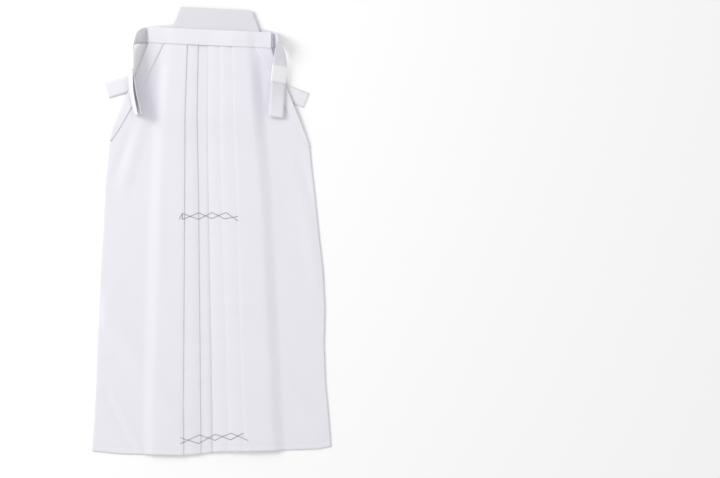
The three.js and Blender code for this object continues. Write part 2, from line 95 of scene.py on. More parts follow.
HEM = {"x": [-278, -211, -67, -30, 19, 80, 200, 250, 278],
       "y": [-512, -519, -522, -519, -513, -513, -509, -507, -501]}
CROWN = {"x": [-146, -112, -90, -56, -31, 0, 20, 47, 82, 101, 140],
         "z": [13.3, 13.4, 15.3, 15.3, 14.2, 13.8, 15.0, 17.1, 17.1, 13.6, 13.3]}

# Soft folds pressed into the front: from, to, half width, height (below zero for a trough).
FRONT_FOLDS = [
    (-258, 610, -85, 865, 46, 3.4), (-190, 575, -80, 700, 40, -1.6), (-246, 822, -176, 945, 11, -1.6),
    (-232, 806, -168, 940, 16, 1.5), (-160, 175, -205, 335, 24, 2.0), (-192, 215, -222, 300, 18, -1.4),
    (206, 262, 232, 350, 22, -1.5), (216, 360, 246, 560, 26, 1.4), (150, 760, 255, 905, 36, 2.2),
    (196, 850, 262, 880, 20, -1.4), (-30, 612, 110, 604, 22, 1.1), (-60, 692, 90, 690, 24, -1.1),
    (-70, 775, -10, 770, 24, 0.9), (-255, 500, -228, 512, 8, 1.1), (-258, 560, -226, 566, 8, 1.2),
    (-262, 650, -232, 640, 8, 1.1), (-265, 720, -234, 726, 8, 1.2), (-268, 790, -240, 780, 7, 1.0),
    (262, 625, 232, 634, 8, 1.1), (264, 690, 236, 686, 8, 1.2), (264, 748, 236, 756, 7, 1.0),
    (268, 812, 238, 806, 8, 1.2), (270, 868, 240, 874, 7, 1.0), (-120, 12, -60, 10, 5, -0.5),
    (60, 12, 100, 14, 5, -0.5), (-135, 300, -118, 520, 34, 0.9), (130, 250, 150, 480, 36, 0.9),
]
BACK_FOLDS = [
    (240, 540, 85, 712, 30, 1.4), (-240, 812, -150, 936, 28, 1.6), (-205, 800, -130, 900, 22, -1.4),
    (60, 586, -60, 592, 14, 1.0), (60, 640, -62, 632, 14, -1.0), (50, 668, -70, 660, 14, 1.0),
]

# Routes of the back ties: x, y, z, bearing and lean of the width, half the space between strands.
TIE_RIGHT = [
    (9.5, 461, 1.95, 90, 0, .65), (-12, 461.5, 1.95, 90, 0, .65), (-50, 462.5, 1.15, 90, 0, .65),
    (-90, 463, 1.15, 90, 0, .65), (-125, 461, 1.15, 91, 0, .65), (-148, 457, 1.15, 93, 0, .65),
    (-160, 454, 9, 96, 22, .65), (-169, 449, 16.5, 94, 46, .65), (-175, 442, 21.5, 82, 66, .65),
    (-180, 432, 24, 42, 76, .65), (-185, 415, 25.5, 2, 66, .65), (-186, 374, 26.5, 2, 66, .65),
    (-182, 330, 27.2, -4, 68, 3.2), (-173, 286, 26.8, -8, 70, 4.4), (-169, 270, 26.8, -8, 70, 4.6)]
TIE_LEFT = [
    (12.5, 461, 1.95, 90, 0, .65), (34, 460.5, 1.95, 90, 0, .65), (66, 459, 1.15, 89, 0, .65),
    (98, 456, 1.15, 88, 0, .65), (124, 451, 1.15, 87, 0, .65), (144, 446, 1.15, 86, 0, .65),
    (150, 444, 9, 86, 24, .65), (155, 442, 17, 92, 52, .65), (158, 439, 21.5, 112, 72, .65),
    (159.5, 432, 22.5, 150, 72, .65), (160, 421, 22, 165, 58, .65), (160, 404, 21, 169, 44, .65),
    (159, 384, 20, 172, 29, .65), (155.5, 344, 19.2, 172, 29, .65), (152.5, 300, 14.5, 175, 13, 1.2),
    (150, 264, 12.2, 173, 7, 1.5)]

# %% [markdown]
# A few helpers place a point on the laid garment. The waist and the hem lie a little askew, and the
# folded ties underneath lift the top of the garment.

# %% Placing helpers
def mix(a, b, t):
    return a + (b - a) * t


def smooth(low, high, value):
    t = min(1.0, max(0.0, (value - low) / (high - low)))
    return t * t * (3 - 2 * t)


def column(table, name, value, key="drop"):
    return float(np.interp(value, table[key], table[name]))


def waist_y(x):
    return WAIST_Y + WAIST_SLOPE * x


def place(x, drop, z):
    length = waist_y(x) - column(HEM, "y", x, "x") if drop > 0 else LENGTH
    return (x, waist_y(x) - drop * length / LENGTH, z)


def lift(x, drop):
    board = 1 - smooth(15, 70, drop)
    crossing = 1 - smooth(60, 120, abs(x + 8))
    return mix(ONE_TIE, TIE_CROSSING, max(board, crossing)) * (1 - smooth(150, SLIT_DROP + 4, drop))


def layer(x, drop, count):
    return lift(x, drop) + SOLID_CLOTH / 2 + count * SOLID_PITCH


def side_layer(x, drop):
    base = layer(x, drop, mix(FRONT_LAYER, 1, smooth(0, 60, drop)))
    return base + SIDE_AIR * (1 - smooth(SLIT_DROP - 40, SLIT_DROP, drop))


def pressed(folds, x, drop):
    height = 0.0
    for x0, d0, x1, d1, reach, rise in folds:
        dx, dd = x1 - x0, d1 - d0
        along = min(1.0, max(0.0, ((x - x0) * dx + (drop - d0) * dd) / (dx * dx + dd * dd)))
        away = math.hypot(x - x0 - along * dx, drop - d0 - along * dd)
        if away < reach:
            fading = 0.45 + 0.55 * math.sin(math.pi * (0.15 + 0.7 * along))
            height += rise * (1 - smooth(0, reach, away)) * fading
    return height


# %% [markdown]
# Cloth is a wall on both sides of a grid of points. Where the grid folds back on itself the two
# sides are mitred, so a fold nearly keeps its thickness. The grid's own area is the area of cloth
# that is cut, and its longest run and fall are the width and length of the cut.

# %% Cloth from a grid
def mitred_normals(grid):
    along = np.gradient(grid, axis=1)
    steps = np.diff(grid, axis=0)
    cross = np.cross(steps, (along[1:] + along[:-1]) / 2)
    cross /= np.maximum(np.linalg.norm(cross, axis=2, keepdims=True), 1e-12)
    before = np.concatenate([cross[:1], cross])
    after = np.concatenate([cross, cross[-1:]])
    normal = before + after
    normal /= np.maximum(np.linalg.norm(normal, axis=2, keepdims=True), 1e-9)
    return normal / np.maximum(0.7, (normal * before).sum(axis=2, keepdims=True))


def longest(grid, axis):
    return float(np.linalg.norm(np.diff(grid, axis=axis), axis=2).sum(axis=axis).max())


def grid_area(grid):
    a, b, c = grid[1:, :-1] - grid[:-1, :-1], grid[:-1, 1:] - grid[:-1, :-1], grid[1:, 1:] - grid[:-1, :-1]
    halves = np.linalg.norm(np.cross(a, c), axis=2) + np.linalg.norm(np.cross(c, b), axis=2)
    return float(halves.sum()) / 2 * MM * MM


def signed_volume(points, faces):
    p = points[np.array(faces)]
    return (np.einsum("ij,ij->i", p[:, 0], np.cross(p[:, 1], p[:, 2])) +
            np.einsum("ij,ij->i", p[:, 0], np.cross(p[:, 2], p[:, 3]))).sum()


def new_piece(name, points, faces, uvs, material, smooth_shade=True):
    if signed_volume(points, faces) < 0:
        faces = [face[::-1] for face in faces]
    mesh = bpy.data.meshes.new(name)
    mesh.from_pydata([tuple(p * MM) for p in points], [], faces)
    if uvs is not None:
        layer_uv = mesh.uv_layers.new(name="cloth")
        for loop in mesh.loops:
            layer_uv.data[loop.index].uv = uvs[loop.vertex_index]
    mesh.polygons.foreach_set("use_smooth", [smooth_shade] * len(mesh.polygons))
    mesh.materials.append(material)
    mesh.update()
    piece = bpy.data.objects.new(name, mesh)
    bpy.context.scene.collection.objects.link(piece)
    return piece


def cloth_piece(name, rows, thickness, material):
    grid = np.array(rows, dtype=float)
    normal = mitred_normals(grid) * thickness / 2
    count, width = grid.shape[:2]
    points = np.concatenate([(grid - normal).reshape(-1, 3), (grid + normal).reshape(-1, 3)])
    run = np.concatenate([[0], np.cumsum(np.linalg.norm(np.diff(grid, axis=0), axis=2).mean(axis=1))])
    fall = np.concatenate([[0], np.cumsum(np.linalg.norm(np.diff(grid, axis=1), axis=2).mean(axis=0))])
    uvs = [(run[i] * MM, fall[j] * MM) for _ in range(2) for i in range(count) for j in range(width)]
    low = lambda i, j: i * width + j
    top = lambda i, j: count * width + i * width + j
    faces = []
    for i in range(count - 1):
        for j in range(width - 1):
            faces.append((top(i, j), top(i + 1, j), top(i + 1, j + 1), top(i, j + 1)))
            faces.append((low(i, j), low(i, j + 1), low(i + 1, j + 1), low(i + 1, j)))
        faces.append((low(i, 0), low(i + 1, 0), top(i + 1, 0), top(i, 0)))
        faces.append((low(i, width - 1), top(i, width - 1), top(i + 1, width - 1), low(i + 1, width - 1)))
    for j in range(width - 1):
        faces.append((low(0, j), top(0, j), top(0, j + 1), low(0, j + 1)))
        faces.append((low(count - 1, j), low(count - 1, j + 1), top(count - 1, j + 1), top(count - 1, j)))
    piece = new_piece(name, points, faces, uvs, material)
    flat = (longest(grid, 0) * MM, longest(grid, 1) * MM)
    area = grid_area(grid)
    print(f"{name}: {len(faces) * 2} triangles, cut from {flat[0]:.3f} x {flat[1]:.3f} m, {area:.4f} m2")
    return piece, area, flat


# %% [markdown]
# The cloth is a plain, smooth white weave with a faint cool tint. A wave texture's bands repeat
# every 0.314 / scale metres, so a scale of 620 puts the threads 0.5 mm apart.
# A small class wraps a shader socket, so shader maths reads as ordinary expressions.

# %% Materials
class Socket:
    def __init__(self, tree, socket):
        self.tree, self.socket = tree, socket

    def node(self, kind, values=(), **settings):
        made = self.tree.nodes.new(kind)
        for name, value in settings.items():
            setattr(made, name, value)
        for key, value in dict(values).items():
            if isinstance(value, Socket):
                self.tree.links.new(value.socket, made.inputs[key])
            else:
                made.inputs[key].default_value = value
        return made

    def maths(self, operation, other):
        made = self.node("ShaderNodeMath", {0: self, 1: other}, operation=operation)
        return Socket(self.tree, made.outputs[0])

    def __add__(self, other):
        return self.maths("ADD", other)

    def __mul__(self, other):
        return self.maths("MULTIPLY", other)

    __radd__ = __add__
    __rmul__ = __mul__


def woven(name, colour, shade, threads, bump, roughness=0.82, sheen=0.25):
    material = bpy.data.materials.new(name)
    material.use_nodes = True
    tree = material.node_tree
    shader = tree.nodes["Principled BSDF"]
    shader.inputs["Roughness"].default_value = roughness
    shader.inputs["Sheen Weight"].default_value = sheen
    shader.inputs["Specular IOR Level"].default_value = 0.25
    root = Socket(tree, tree.nodes.new("ShaderNodeUVMap").outputs["UV"])
    root.socket.node.uv_map = "cloth"
    wave = {}
    for direction in ("X", "Y"):
        made = root.node("ShaderNodeTexWave", {"Vector": root, "Scale": threads, "Distortion": 0.6,
                                              "Detail": 1.0, "Detail Scale": 2.0},
                         wave_type="BANDS", bands_direction=direction)
        wave[direction] = Socket(tree, made.outputs["Fac"])
    place_of = Socket(tree, tree.nodes.new("ShaderNodeTexCoord").outputs["Object"])
    cloud = place_of.node("ShaderNodeTexNoise", {"Vector": place_of, "Scale": 9.0, "Detail": 4.0})
    slub = place_of.node("ShaderNodeTexNoise", {"Vector": place_of, "Scale": 160.0, "Detail": 2.0})
    weave = wave["X"] * wave["Y"]
    tone = (Socket(tree, cloud.outputs["Fac"]) * 0.55 + Socket(tree, slub.outputs["Fac"]) * 0.25
            + weave * 0.2)
    tint = root.node("ShaderNodeMix", {"Factor": tone, "A": (*shade, 1), "B": (*colour, 1)},
                     data_type="RGBA")
    tree.links.new(tint.outputs["Result"], shader.inputs["Base Color"])
    relief = weave * 0.6 + Socket(tree, slub.outputs["Fac"]) * 0.4
    made = root.node("ShaderNodeBump", {"Height": relief, "Strength": bump, "Distance": 0.0002})
    tree.links.new(made.outputs["Normal"], shader.inputs["Normal"])
    return material


CLOTH_WHITE = woven("cloth_white", (0.800, 0.792, 0.850), (0.765, 0.757, 0.815), 620.0, 0.35)
BAND_WHITE = woven("band_white", (0.815, 0.808, 0.862), (0.775, 0.768, 0.825), 540.0, 0.45)
LINING_GREY = woven("board_grey", (0.720, 0.712, 0.765), (0.690, 0.682, 0.735), 620.0, 0.35)
PAPER_WHITE = woven("paper_white", (0.930, 0.930, 0.955), (0.915, 0.915, 0.940), 90.0, 0.08, 0.6, 0.0)
THREAD_GREY = woven("basting_grey", (0.330, 0.330, 0.360), (0.250, 0.250, 0.280), 900.0, 0.3, 0.8, 0.0)
STITCH_WHITE = woven("stitch_white", (0.700, 0.695, 0.740), (0.640, 0.635, 0.680), 900.0, 0.3, 0.8, 0.0)
print("materials:", len(bpy.data.materials))

# %% [markdown]
# The front is two panels. Each is one ribbon of cloth that runs from the hidden centre seam through
# its knife pleats to the side, so the pleats are real folds with real edges.

# %% Front panels
SEAM_SHIFT, SLOPE_RUN, FOLD_DROP = 14.0, 34.0, 1.5
ROWS = sorted(set([-TUCK, -8.0] + list(np.linspace(0, 924, 84)) + [932, 935, 936.5, 938, 941, 946, 950]))


def turn(edge, toward, low, high, steps=6):
    radius = (high - low) / 2
    centre = edge - toward * (radius + CLOTH / 2)
    angles = [math.radians(-90 + 180 * n / (steps - 1)) for n in range(steps)]
    middle = (low + high) / 2
    return [(centre + toward * radius * math.cos(a), middle + radius * math.sin(a)) for a in angles]


def span(start, end, steps):
    return [(mix(start[0], end[0], n / steps), mix(start[1], end[1], n / steps)) for n in range(1, steps)]


def leaf_depth(name, drop):
    return min(20.0, max(3.0, 0.62 * abs(column(FRONT, name, drop) - column(LEAF, name, drop))))


def front_end(side, name, drop):
    if drop >= SLIT_DROP:
        return column(FRONT, name, drop)
    return column(LEAF, name, drop) + side * (leaf_depth(name, drop) - 1)


def front_section(side, name, edges, drop):
    base = layer(0, drop, FRONT_LAYER)
    seam = column(PLEATS, "edge3", drop) + SEAM_SHIFT + side * GAP / 2
    depth = column(PLEATS, "depth", drop)
    points, count = [(seam, base)], 0
    for edge_name in edges:
        edge = column(PLEATS, edge_name, drop)
        for fold, toward in ((edge + side * depth, side), (edge, -side)):
            bend = turn(fold, toward, base + count * PITCH, base + (count + 1) * PITCH)
            points += span(points[-1], bend[0], 4) + bend
            count += 1
    end = front_end(side, name, drop)
    top = edge + side * (depth + FOLD_DROP)
    foot = top + side * min(SLOPE_RUN, abs(end - top) * 0.8)
    points += span(points[-1], (top, base + count * PITCH), 6) + [(top, base + count * PITCH)]
    for n in range(1, 8):
        x = mix(top, foot, n / 7)
        points.append((x, mix(base + count * PITCH, side_layer(x, drop), smooth(0, 1, n / 7))))
    for n in range(1, 31):
        x = mix(foot, end, n / 30)
        points.append((x, side_layer(x, drop)))
    return points


def hem_press(drop):
    return -0.35 * math.exp(-((drop - 936.5) / 1.6) ** 2)


def front_height(x, drop, z):
    outer = min(abs(x - column(FRONT, "left", drop)), abs(x - column(FRONT, "right", drop)))
    fading = smooth(0, 14, outer) * smooth(0, 14, LENGTH - drop + 6)
    return z + pressed(FRONT_FOLDS, x, drop) * fading + hem_press(drop)


def front_panel(name, side, edges):
    side_name = "left" if side < 0 else "right"
    rows = []
    for drop in ROWS:
        section = front_section(side, side_name, edges, drop)
        rows.append([place(x, drop, front_height(x, drop, z)) for x, z in section])
    grid = [[rows[j][i] for j in range(len(rows))] for i in range(len(rows[0]))]
    return cloth_piece(name, grid, CLOTH, CLOTH_WHITE)


front_right = front_panel("front_right_cloth", -1, ["edge2", "edge1"])
front_left = front_panel("front_left_cloth", 1, ["edge3", "edge4", "edge5"])

# %% [markdown]
# At each side slit the edge of the front is folded under and out again, which leaves a slanted leaf
# with its folded edge towards the middle. The leaf is the front panel's own cloth, drawn here as a
# piece of its own that meets the panel at the slit.

# %% Side leaves
def side_leaf(name, side):
    side_name = "left" if side < 0 else "right"
    rows = []
    for drop in [-TUCK] + list(np.linspace(0, 230, 40)):
        edge = column(LEAF, side_name, drop)
        outer = column(FRONT, side_name, drop)
        end = front_end(side, side_name, drop)
        base = side_layer(edge, drop)
        section = [(end, side_layer(end, drop))]
        section += turn(end + side * 0.9, side, base, base + PITCH)[1:]
        bend = turn(edge, -side, base + PITCH, base + 2 * PITCH)
        section += span(section[-1], bend[0], 4) + bend
        section += span(bend[-1], (outer, base + 2 * PITCH), 8) + [(outer, base + 2 * PITCH)]
        rows.append([place(x, drop, front_height(x, drop, z)) for x, z in section])
    grid = [[rows[j][i] for j in range(len(rows))] for i in range(len(rows[0]))]
    return cloth_piece(name, grid, CLOTH, CLOTH_WHITE)


leaf_right = side_leaf("leaf_right_cloth", -1)
leaf_left = side_leaf("leaf_left_cloth", 1)

# %% [markdown]
# The back is two panels that meet at a fold down the centre. Above the foot of the slits their free
# edges lie inside the front's edges. A slim gusset hides inside each leg.

# %% Back panels and gussets
BACK_SINK = 0.15       # the drawn cloth is thinner than the solid, so it lies lower
TURNED_IN = 45.0       # cloth turned in along the centre back


def back_panel(name, side):
    side_name = "left" if side < 0 else "right"
    rows = []
    for drop in [row for row in ROWS if row >= 0]:
        outer = column(BACK, side_name, drop) if drop < SLIT_DROP else column(FRONT, side_name, drop)
        middle = column(PLEATS, "back", drop) + side * GAP / 2
        wander = 1.6 * math.sin(drop / 23) * smooth(CROTCH_DROP, 300, drop) * (1 - smooth(330, 420, drop))
        middle += wander
        start = middle + side * 1.3
        section = []
        for n in range(37):
            x = mix(outer, start, n / 36)
            pull = smooth(0, 20, abs(x - outer)) * smooth(0, 20, abs(x - start))
            ridge = max(0.0, pressed(BACK_FOLDS, x, drop)) * 0.6 * pull
            section.append((x, layer(x, drop, 0) - BACK_SINK + ridge))
        low = layer(middle, drop, 0) - BACK_SINK
        section += turn(middle, -side, low, low + PITCH)
        turned_edge = (middle + side * TURNED_IN, low + PITCH)
        section += span(section[-1], turned_edge, 5) + [turned_edge]
        rows.append([place(x, drop, z) for x, z in section])
    grid = [[rows[j][i] for j in range(len(rows))] for i in range(len(rows[0]))]
    return cloth_piece(name, grid, CLOTH, CLOTH_WHITE)


def gusset(name, side):
    rows = []
    for drop in np.linspace(CROTCH_DROP, 560, 24):
        middle = column(PLEATS, "back", drop) + side * 2.0
        width = mix(58, 12, (drop - CROTCH_DROP) / (560 - CROTCH_DROP))
        rows.append([place(middle + side * width * n / 6, drop, layer(middle, drop, 2)) for n in range(7)])
    grid = [[rows[j][i] for j in range(len(rows))] for i in range(7)]
    return cloth_piece(name, grid, CLOTH, CLOTH_WHITE)


back_right = back_panel("back_right_cloth", -1)
back_left = back_panel("back_left_cloth", 1)
gusset_right = gusset("gusset_right_cloth", -1)
gusset_left = gusset("gusset_left_cloth", 1)

# %% [markdown]
# The waistband is one strip folded over the top edge of the pleats. The board behind it is stiff,
# covered with cloth, and has crisp edges.

# %% Waistband and waist board
def waistband():
    rows = []
    for x in np.linspace(-146, 140, 90):
        z = column(CROWN, "z", x, "x") + 0.12 * math.sin(x / 7.0)
        radius = (z - BAND_INNER) / 2
        points = [place(x, 0, BAND_INNER)]
        for n in range(9):
            angle = math.radians(-90 + 180 * n / 8)
            rise = BAND_HEIGHT - CLOTH / 2 - radius + radius * math.cos(angle)
            points.append(place(x, -rise, BAND_INNER + radius + radius * math.sin(angle)))
        for n in range(1, 13):
            fall = (BAND_HEIGHT - radius) * (1 - n / 12)
            puff = 0.5 * math.sin(math.pi * n / 12)
            points.append(place(x, -fall, z + puff))
        rows.append(points)
    grid = [[rows[j][i] for j in range(len(rows))] for i in range(len(rows[0]))]
    return cloth_piece("waistband_cloth", grid, 0.8, BAND_WHITE)


def waist_board():
    low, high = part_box("waist_board")
    z0, z1 = low[2] / MM, high[2] / MM
    left, right = -104.0, 126.0
    top = {"left": (-72.0, 522.0), "right": (94.0, 513.0)}
    across, up = 40, 14
    round_edge = 1.2
    points, uvs = [], []
    outlines = ((z0, round_edge), (z0 + round_edge, 0.0), (z1 - round_edge, 0.0), (z1, round_edge))
    for level, inset in outlines:
        for j in range(up + 1):
            v = j / up
            xl, xr = mix(left, top["left"][0], v) + inset, mix(right, top["right"][0], v) - inset
            for i in range(across + 1):
                u = i / across
                x = mix(xl, xr, u)
                bottom = waist_y(x) + GAP + inset
                y = mix(bottom, mix(top["left"][1], top["right"][1], u) - inset, v)
                points.append((x, y, level))
                uvs.append((x * MM, y * MM))
    step = (across + 1) * (up + 1)
    at = lambda k, i, j: k * step + j * (across + 1) + i
    faces = []
    for j in range(up):
        for i in range(across):
            faces.append((at(3, i, j), at(3, i + 1, j), at(3, i + 1, j + 1), at(3, i, j + 1)))
            faces.append((at(0, i, j), at(0, i, j + 1), at(0, i + 1, j + 1), at(0, i + 1, j)))
    for k in range(3):
        for i in range(across):
            faces.append((at(k, i, 0), at(k, i + 1, 0), at(k + 1, i + 1, 0), at(k + 1, i, 0)))
            faces.append((at(k, i, up), at(k + 1, i, up), at(k + 1, i + 1, up), at(k, i + 1, up)))
        for j in range(up):
            faces.append((at(k, 0, j), at(k + 1, 0, j), at(k + 1, 0, j + 1), at(k, 0, j + 1)))
            faces.append((at(k, across, j), at(k, across, j + 1),
                          at(k + 1, across, j + 1), at(k + 1, across, j)))
    return new_piece("waist_board_cover", np.array(points), faces, uvs, LINING_GREY, False)


band = waistband()
board = waist_board()

# %% [markdown]
# Ties are straps. Each station of a strap has a middle and a direction of its width, so a strap can
# lie flat, stand on its edge and turn over, as the back ties do where they come round the sides.

# %% Straps
def across_of(bearing, lean):
    b, e = math.radians(bearing), math.radians(lean)
    return np.array([math.cos(e) * math.cos(b), math.cos(e) * math.sin(b), math.sin(e)])


def strap(name, stations, material, thickness=0.9):
    rows = [[centre + across * STRAP_WIDTH * share for share in np.linspace(-0.5, 0.5, 7)]
            for centre, across in stations]
    return cloth_piece(name, rows, thickness, material)


def refined(route, steps):
    table = np.array(route, dtype=float)
    fine = np.concatenate([np.linspace(n, n + 1, steps, endpoint=False) for n in range(len(table) - 1)]
                          + [[len(table) - 1]])
    slopes = np.gradient(table, axis=0)
    out = []
    for value in fine:
        n = min(int(value), len(table) - 2)
        t = value - n
        h = (2 * t**3 - 3 * t**2 + 1, t**3 - 2 * t**2 + t, -2 * t**3 + 3 * t**2, t**3 - t**2)
        row = h[0] * table[n] + h[1] * slopes[n] + h[2] * table[n + 1] + h[3] * slopes[n + 1]
        row[2] = max(row[2], min(table[n][2], table[n + 1][2]))
        row[4] = max(0.0, row[4])
        out.append(row)
    return np.array(out)


def back_tie(name, route):
    fine = refined(route, 6)
    centres = fine[:, :3]
    forward = np.gradient(centres, axis=0)
    forward /= np.linalg.norm(forward, axis=1, keepdims=True)
    across = np.array([across_of(row[3], row[4]) for row in fine])
    up = np.cross(forward, across)
    up /= np.linalg.norm(up, axis=1, keepdims=True)
    half = np.maximum(fine[:, 5:6], 0.65)
    strands = {sign: [(c, w) for c, w in zip(centres + sign * half * up, across)] for sign in (-1, 1)}
    bend = []
    for n in range(1, 6):
        angle = math.radians(-90 + 180 * n / 6)
        middle = centres[0] - forward[0] * 0.65 * math.cos(angle) + up[0] * 0.65 * math.sin(angle)
        bend.append((middle, across[0]))
    return strap(name, strands[-1][::-1] + bend + strands[1], BAND_WHITE)


def front_tie(name, side, crease, bearing, tip, start, end, first, second, back_to):
    wrap = (BAND_INNER - start) / 2
    stations = []
    for n in range(9):
        angle = math.radians(90 - 180 * n / 8)
        out = side * (GAP + wrap * math.cos(angle))
        stations.append((np.array([crease[0] + out, crease[1], start + wrap + wrap * math.sin(angle)]),
                         across_of(90, 0)))
    length = math.hypot(tip[0] - crease[0], tip[1] - crease[1])

    def along(distance, z):
        t = distance / length
        return (np.array([mix(crease[0], tip[0], t), mix(crease[1], tip[1], t), z]), across_of(bearing, 0))

    def height(distance):
        return mix(start, end, smooth(first, second, distance))

    stations += [along(d, height(d)) for d in np.linspace(24, length - 1.2, 60)]
    for n in range(1, 6):
        angle = math.radians(90 - 180 * n / 6)
        stations.append(along(length - 1.2 + 0.65 * math.cos(angle), end - 0.65 + 0.65 * math.sin(angle)))
    stations += [along(d, height(d) - 1.3) for d in np.linspace(length - 1.2, back_to, 50)]
    return strap(name, stations, BAND_WHITE)


back_tie_right = back_tie("back_tie_right_strap", TIE_RIGHT)
back_tie_left = back_tie("back_tie_left_strap", TIE_LEFT)
front_tie_left = front_tie("front_tie_left_strap", 1, crease=(140, 442.5), bearing=106.8,
                           tip=(-244.5, 326.5), start=3.1, end=1.8, first=72, second=96, back_to=84)
front_tie_right = front_tie("front_tie_right_strap", -1, crease=(-146, 455.5), bearing=67.6,
                            tip=(220, 304), start=4.4, end=1.8, first=205, second=262, back_to=126)

# %% [markdown]
# Each folded tie is held by a plain paper band, glued into a ring. It hugs the strap a little loosely.

# %% Paper bands
def paper_band(name, start, end):
    corners = 16
    points, uvs, rings, across_steps = [], [], [], 8
    for n in range(across_steps + 1):
        t = n / across_steps
        row = np.array([mix(a, b, t) for a, b in zip(start, end)])
        forward = np.array(end[:3], dtype=float) - np.array(start[:3], dtype=float)
        forward /= np.linalg.norm(forward)
        wide = across_of(row[3], row[4])
        up = np.cross(forward, wide)
        up /= np.linalg.norm(up)
        for grow in (0.3, 0.0):
            ring = []
            for k in range(corners):
                angle = 2 * math.pi * (k + 0.5) / corners
                cx = math.copysign(abs(math.cos(angle)) ** 0.16, math.cos(angle))
                cy = math.copysign(abs(math.sin(angle)) ** 0.35, math.sin(angle))
                bulge = 0.25 * (1 - cx * cx)
                half_width = STRAP_WIDTH / 2 + 0.45 + grow
                point = row[:3] + wide * cx * half_width + up * cy * (1.35 + bulge + grow)
                ring.append(len(points))
                points.append(point)
                uvs.append((k * 0.004, t * 0.042))
            rings.append(ring)
    faces = []
    for n in range(across_steps):
        a, b, c, d = rings[2 * n], rings[2 * n + 1], rings[2 * n + 2], rings[2 * n + 3]
        for k in range(corners):
            m = (k + 1) % corners
            faces.append((a[k], a[m], c[m], c[k]))
            faces.append((b[k], d[k], d[m], b[m]))
    for k in range(corners):
        m = (k + 1) % corners
        faces.append((rings[0][k], rings[1][k], rings[1][m], rings[0][m]))
        faces.append((rings[-2][k], rings[-2][m], rings[-1][m], rings[-1][k]))
    return new_piece(name, np.array(points), faces, uvs, PAPER_WHITE)


paper_right = paper_band("paper_right", TIE_RIGHT[10], TIE_RIGHT[11])
paper_left = paper_band("paper_left", TIE_LEFT[12], TIE_LEFT[13])
paper_back = paper_band("paper_back", (-9, 461.5, 1.95, 90, 0, .65), (32, 460.5, 1.95, 90, 0, .65))

# %% [markdown]
# Stitches repeat along a line, so Geometry Nodes make them: the line is resampled at the stitch
# length, a small thread is placed at each point and turned along the line, and the instances are
# made real before the result becomes a plain mesh.

# %% Stitches along a line
def front_z(x, drop):
    base = layer(0, drop, FRONT_LAYER)
    edges = [column(PLEATS, f"edge{n}", drop) for n in range(1, 6)]
    depth = column(PLEATS, "depth", drop)
    count = 4 if x < edges[0] else 2 if x < edges[1] else 0 if x < edges[2] else 2 if x < edges[3] else \
        4 if x < edges[4] else 6
    z = base + count * PITCH
    for side, edge in ((-1, edges[0]), (1, edges[4])):
        past = side * (x - edge) - depth - FOLD_DROP
        if past > 0:
            z = mix(z, side_layer(x, drop), smooth(0, SLOPE_RUN, past))
    return front_height(x, drop, z) + CLOTH / 2


def stitch_tree():
    tree = bpy.data.node_groups.new("stitches", "GeometryNodeTree")
    tree.is_modifier = True
    face = tree.interface
    face.new_socket("Geometry", in_out="INPUT", socket_type="NodeSocketGeometry")
    for name, value in (("Spacing", 0.006), ("Stitch length", 0.0032), ("Thread radius", 0.00022)):
        face.new_socket(name, in_out="INPUT", socket_type="NodeSocketFloat").default_value = value
    face.new_socket("Material", in_out="INPUT", socket_type="NodeSocketMaterial")
    face.new_socket("Geometry", in_out="OUTPUT", socket_type="NodeSocketGeometry")
    add, link = tree.nodes.new, tree.links.new
    given, out = add("NodeGroupInput"), add("NodeGroupOutput")
    curve, points = add("GeometryNodeMeshToCurve"), add("GeometryNodeCurveToPoints")
    points.mode = "LENGTH"
    thread, spread = add("GeometryNodeMeshUVSphere"), add("GeometryNodeInstanceOnPoints")
    thread.inputs["Segments"].default_value = 6
    thread.inputs["Rings"].default_value = 4
    size = add("ShaderNodeCombineXYZ")
    real = add("GeometryNodeRealizeInstances")
    paint = add("GeometryNodeSetMaterial")
    link(given.outputs["Geometry"], curve.inputs["Mesh"])
    link(curve.outputs["Curve"], points.inputs["Curve"])
    link(given.outputs["Spacing"], points.inputs["Length"])
    link(points.outputs["Points"], spread.inputs["Points"])
    link(points.outputs["Rotation"], spread.inputs["Rotation"])
    link(thread.outputs["Mesh"], spread.inputs["Instance"])
    thread.inputs["Radius"].default_value = 0.5
    double = add("ShaderNodeMath")
    double.operation = "MULTIPLY"
    double.inputs[1].default_value = 2.0
    link(given.outputs["Thread radius"], double.inputs[0])
    for axis in ("X", "Y"):
        link(double.outputs[0], size.inputs[axis])
    link(given.outputs["Stitch length"], size.inputs["Z"])
    link(size.outputs[0], spread.inputs["Scale"])
    link(spread.outputs["Instances"], real.inputs["Geometry"])
    link(real.outputs["Geometry"], paint.inputs["Geometry"])
    link(given.outputs["Material"], paint.inputs["Material"])
    link(paint.outputs["Geometry"], out.inputs["Geometry"])
    return tree


STITCHES = stitch_tree()


